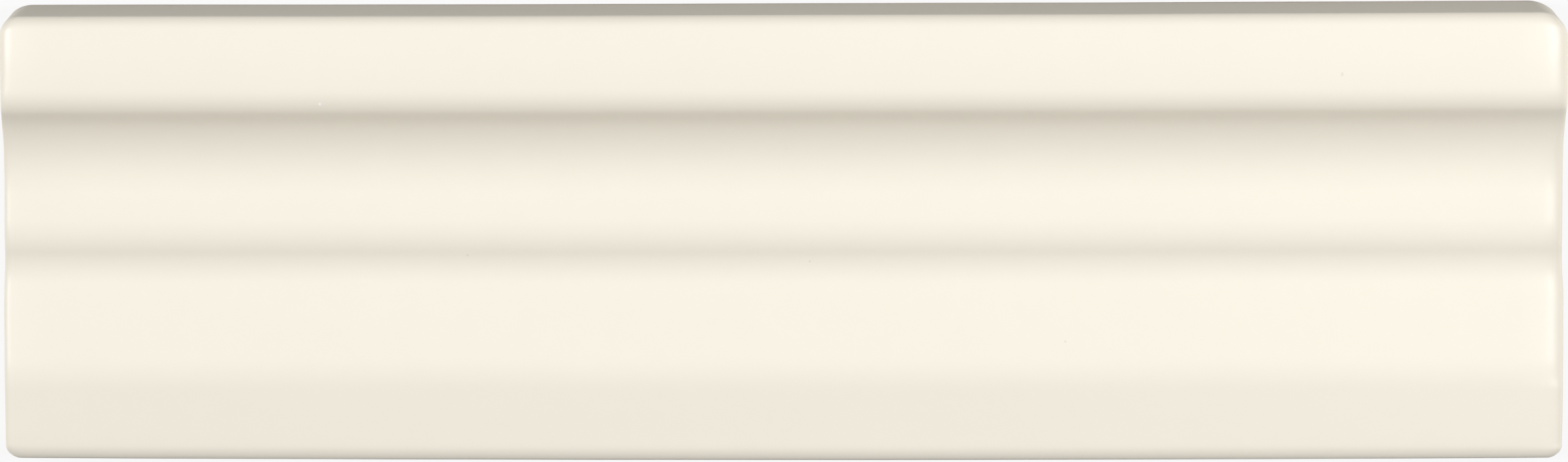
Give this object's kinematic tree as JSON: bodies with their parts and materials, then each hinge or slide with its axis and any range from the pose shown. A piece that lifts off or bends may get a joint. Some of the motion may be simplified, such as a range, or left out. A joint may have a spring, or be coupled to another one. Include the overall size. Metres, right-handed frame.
{
  "type": "bullnose moulding tile",
  "caption": "Cream glazed ceramic trim tile with a rounded thick top edge, a cove, a bead, a plain band and a sloping lower edge, for capping wall tiling.",
  "frame": {"origin": "middle of the back face, which lies on the floor", "axes": "+X along the tile, +Y towards its thick rounded top edge, +Z out of the wall, from the back to the glazed front"},
  "size_m": [0.2, 0.0588, 0.026],
  "materials": {
    "glaze": "satin"
  },
  "bodies": {
    "root": {"moulding_tile": "glaze"}
  },
  "joints": []
}
